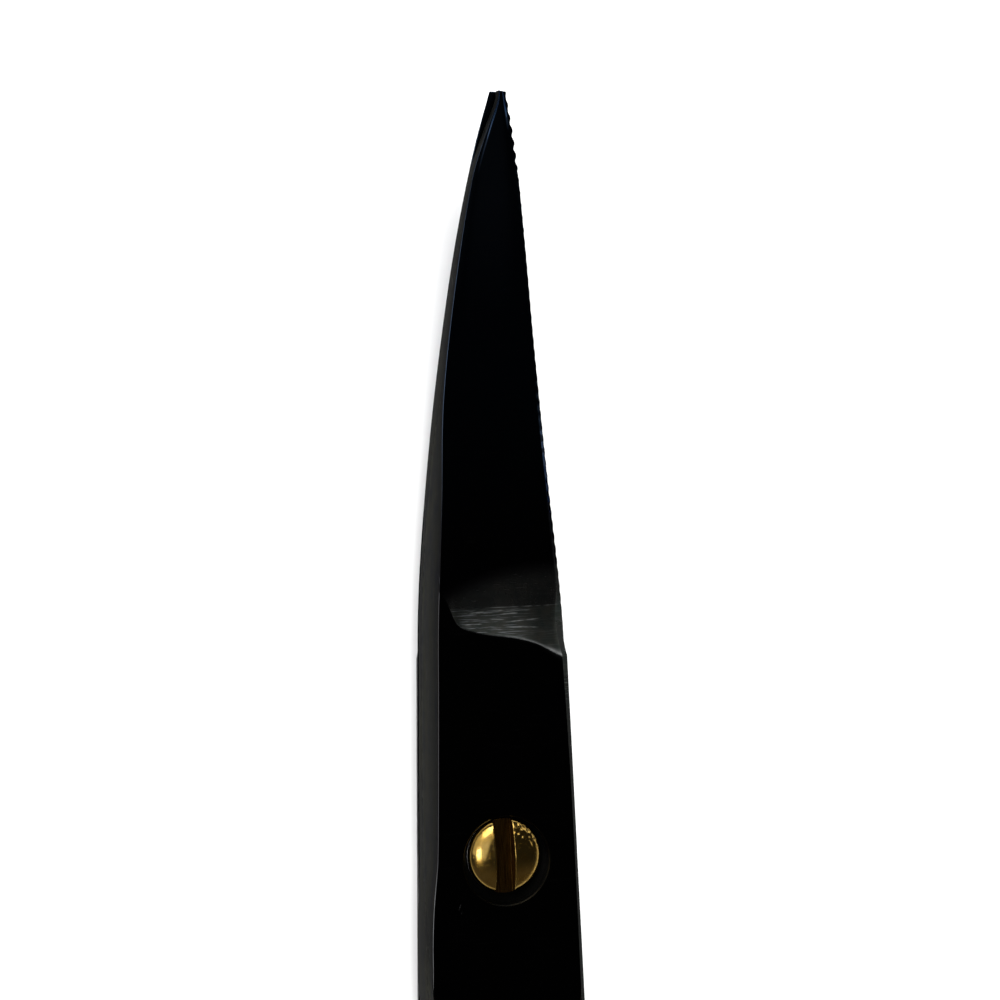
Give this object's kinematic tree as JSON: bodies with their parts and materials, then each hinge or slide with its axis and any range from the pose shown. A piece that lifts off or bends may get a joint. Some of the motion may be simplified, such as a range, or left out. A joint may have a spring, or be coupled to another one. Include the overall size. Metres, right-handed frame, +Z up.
{
  "type": "hair cutting shears",
  "caption": "Closed hair cutting shears with upturned blades, offset finger rings with rubber liners, a slotted pivot screw and a finger rest.",
  "frame": {"origin": "where the pivot axis meets the surface the shears lie on: the centre of the pivot nut's flat underside", "axes": "+Y from the pivot to the blade tips, +X towards the thumb ring, +Z up out of the screw head"},
  "size_m": [0.0711, 0.1472, 0.0101],
  "materials": {
    "black_coated_steel": "polished black coating on steel",
    "gold_screw": "polished",
    "spring_steel": "satin",
    "bronze": "turned",
    "nylon": "natural",
    "black_rubber": "moulded, matt"
  },
  "bodies": {
    "finger_half": {"finger_blade": "black_coated_steel", "pivot_nut": "gold_screw", "slip_washer": "nylon", "finger_ring_insert": "black_rubber", "finger_rest": "black_coated_steel", "bumper": "black_rubber"},
    "thumb_half": {"thumb_blade": "black_coated_steel", "pivot_bushing": "bronze", "spring_washer": "spring_steel", "thumb_ring_insert": "black_rubber"},
    "tension_screw": {"pivot_screw": "gold_screw"}
  },
  "joints": [
    {"name": "blade_pivot", "type": "hinge", "parent": "finger_half", "child": "thumb_half", "pos_m": [0, 0, 0.0026], "axis": [0, 0, 1], "range_deg": [0, 60]},
    {"name": "tension_turn", "type": "hinge", "parent": "finger_half", "child": "tension_screw", "pos_m": [0, 0, 0.0026], "axis": [0, 0, 1], "range_deg": [-60, 60]}
  ]
}
